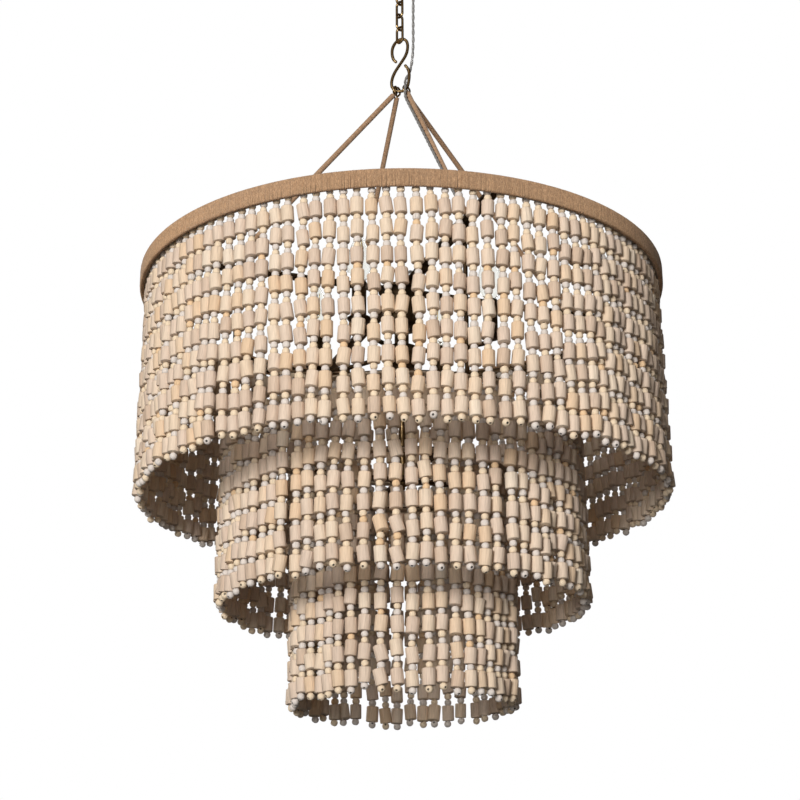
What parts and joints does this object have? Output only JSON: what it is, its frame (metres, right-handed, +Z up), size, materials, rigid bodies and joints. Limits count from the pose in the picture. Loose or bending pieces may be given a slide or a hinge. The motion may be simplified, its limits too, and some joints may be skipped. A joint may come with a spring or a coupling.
{
  "type": "chandelier",
  "caption": "Tiered chandelier with curtains of threaded wooden beads on iron hoops, hung by wrapped rods from a hook, a chain and a ceiling canopy.",
  "frame": {"origin": "middle of the canopy bar's face that sits on the ceiling", "axes": "+Z up into the ceiling, -Y towards the viewer of the front"},
  "size_m": [0.762, 0.762, 1.2009],
  "materials": {
    "antique_brass": "aged",
    "dark_bronze": "satin",
    "jute": "wound cord",
    "pale_wood": "unvarnished",
    "clear_cord": "semi-clear",
    "bulb_glass": "clear",
    "black_plastic": "matt"
  },
  "bodies": {
    "canopy": {"ceiling_canopy": "antique_brass", "canopy_crossbar": "dark_bronze", "canopy_nipple": "antique_brass", "canopy_loop": "antique_brass", "cord_bush": "black_plastic", "supply_cord_1": "clear_cord"},
    "first_link": {"chain_link_1": "antique_brass"},
    "chain": {"chain_link_2": "antique_brass", "chain_link_3": "antique_brass", "chain_link_4": "antique_brass", "chain_link_5": "antique_brass", "supply_cord_2": "clear_cord", "supply_cord_3": "clear_cord"},
    "hook": {"s_hook": "antique_brass", "supply_cord_4": "clear_cord"},
    "frame": {"candle_socket_back_left": "dark_bronze", "candle_socket_back_right": "dark_bronze", "candle_socket_front_left": "dark_bronze", "candle_socket_front_right": "dark_bronze", "central_stem": "antique_brass", "lamp_arm_back_left": "dark_bronze", "lamp_arm_back_right": "dark_bronze", "lamp_arm_front_left": "dark_bronze", "lamp_arm_front_right": "dark_bronze", "lamp_cluster_body": "dark_bronze", "lower_curtain_back": "pale_wood", "lower_curtain_front": "pale_wood", "lower_curtain_left": "pale_wood", "lower_curtain_right": "pale_wood", "lower_hoop": "dark_bronze", "middle_curtain_back": "pale_wood", "middle_curtain_front": "pale_wood", "middle_curtain_left": "pale_wood", "middle_curtain_right": "pale_wood", "middle_hoop": "dark_bronze", "middle_hoop_hanger_back": "dark_bronze", "middle_hoop_hanger_front": "dark_bronze", "middle_hoop_hanger_left": "dark_bronze", "middle_hoop_hanger_right": "dark_bronze", "rod_jute_wrap_back": "jute", "rod_jute_wrap_front": "jute", "rod_jute_wrap_left": "jute", "rod_jute_wrap_right": "jute", "spider": "dark_bronze", "stem_finial": "antique_brass", "suspension_rod_back": "antique_brass", "suspension_rod_front": "antique_brass", "suspension_rod_left": "antique_brass", "suspension_rod_right": "antique_brass", "upper_curtain_back": "pale_wood", "upper_curtain_front": "pale_wood", "upper_curtain_left": "pale_wood", "upper_curtain_right": "pale_wood", "upper_hoop": "dark_bronze", "upper_hoop_jute_band": "jute", "supply_cord_5": "clear_cord"},
    "bulb_front_right": {"bulb_front_right": "bulb_glass"},
    "bulb_back_right": {"bulb_back_right": "bulb_glass"},
    "bulb_back_left": {"bulb_back_left": "bulb_glass"},
    "bulb_front_left": {"bulb_front_left": "bulb_glass"}
  },
  "joints": [
    {"name": "first_link_swing", "type": "hinge", "parent": "canopy", "child": "first_link", "pos_m": [0, 0, -0.0543], "axis": [0.7071, 0.7071, 0], "range_deg": [-10, 10], "deforming": ["supply_cord_1"]},
    {"name": "chain_swing", "type": "hinge", "parent": "first_link", "child": "chain", "pos_m": [0, 0, -0.07665], "axis": [-0.7071, 0.7071, 0], "range_deg": [-10, 10], "deforming": ["supply_cord_2"]},
    {"name": "hook_swing", "type": "hinge", "parent": "chain", "child": "hook", "pos_m": [0, 0, -0.16745], "axis": [-0.7071, 0.7071, 0], "range_deg": [-10, 10], "deforming": ["supply_cord_3"]},
    {"name": "frame_swing", "type": "hinge", "parent": "hook", "child": "frame", "pos_m": [0, 0, -0.2532], "axis": [1, 0, 0], "range_deg": [-10, 10], "deforming": ["supply_cord_4"]},
    {"name": "bulb_front_right_turn", "type": "hinge", "parent": "frame", "child": "bulb_front_right", "pos_m": [0.12688, -0.05917, -0.62], "axis": [0, 0, 1], "range_deg": [0, 90]},
    {"name": "bulb_back_right_turn", "type": "hinge", "parent": "frame", "child": "bulb_back_right", "pos_m": [0.05917, 0.12688, -0.62], "axis": [0, 0, 1], "range_deg": [0, 90]},
    {"name": "bulb_back_left_turn", "type": "hinge", "parent": "frame", "child": "bulb_back_left", "pos_m": [-0.12688, 0.05917, -0.62], "axis": [0, 0, 1], "range_deg": [0, 90]},
    {"name": "bulb_front_left_turn", "type": "hinge", "parent": "frame", "child": "bulb_front_left", "pos_m": [-0.05917, -0.12688, -0.62], "axis": [0, 0, 1], "range_deg": [0, 90]}
  ]
}
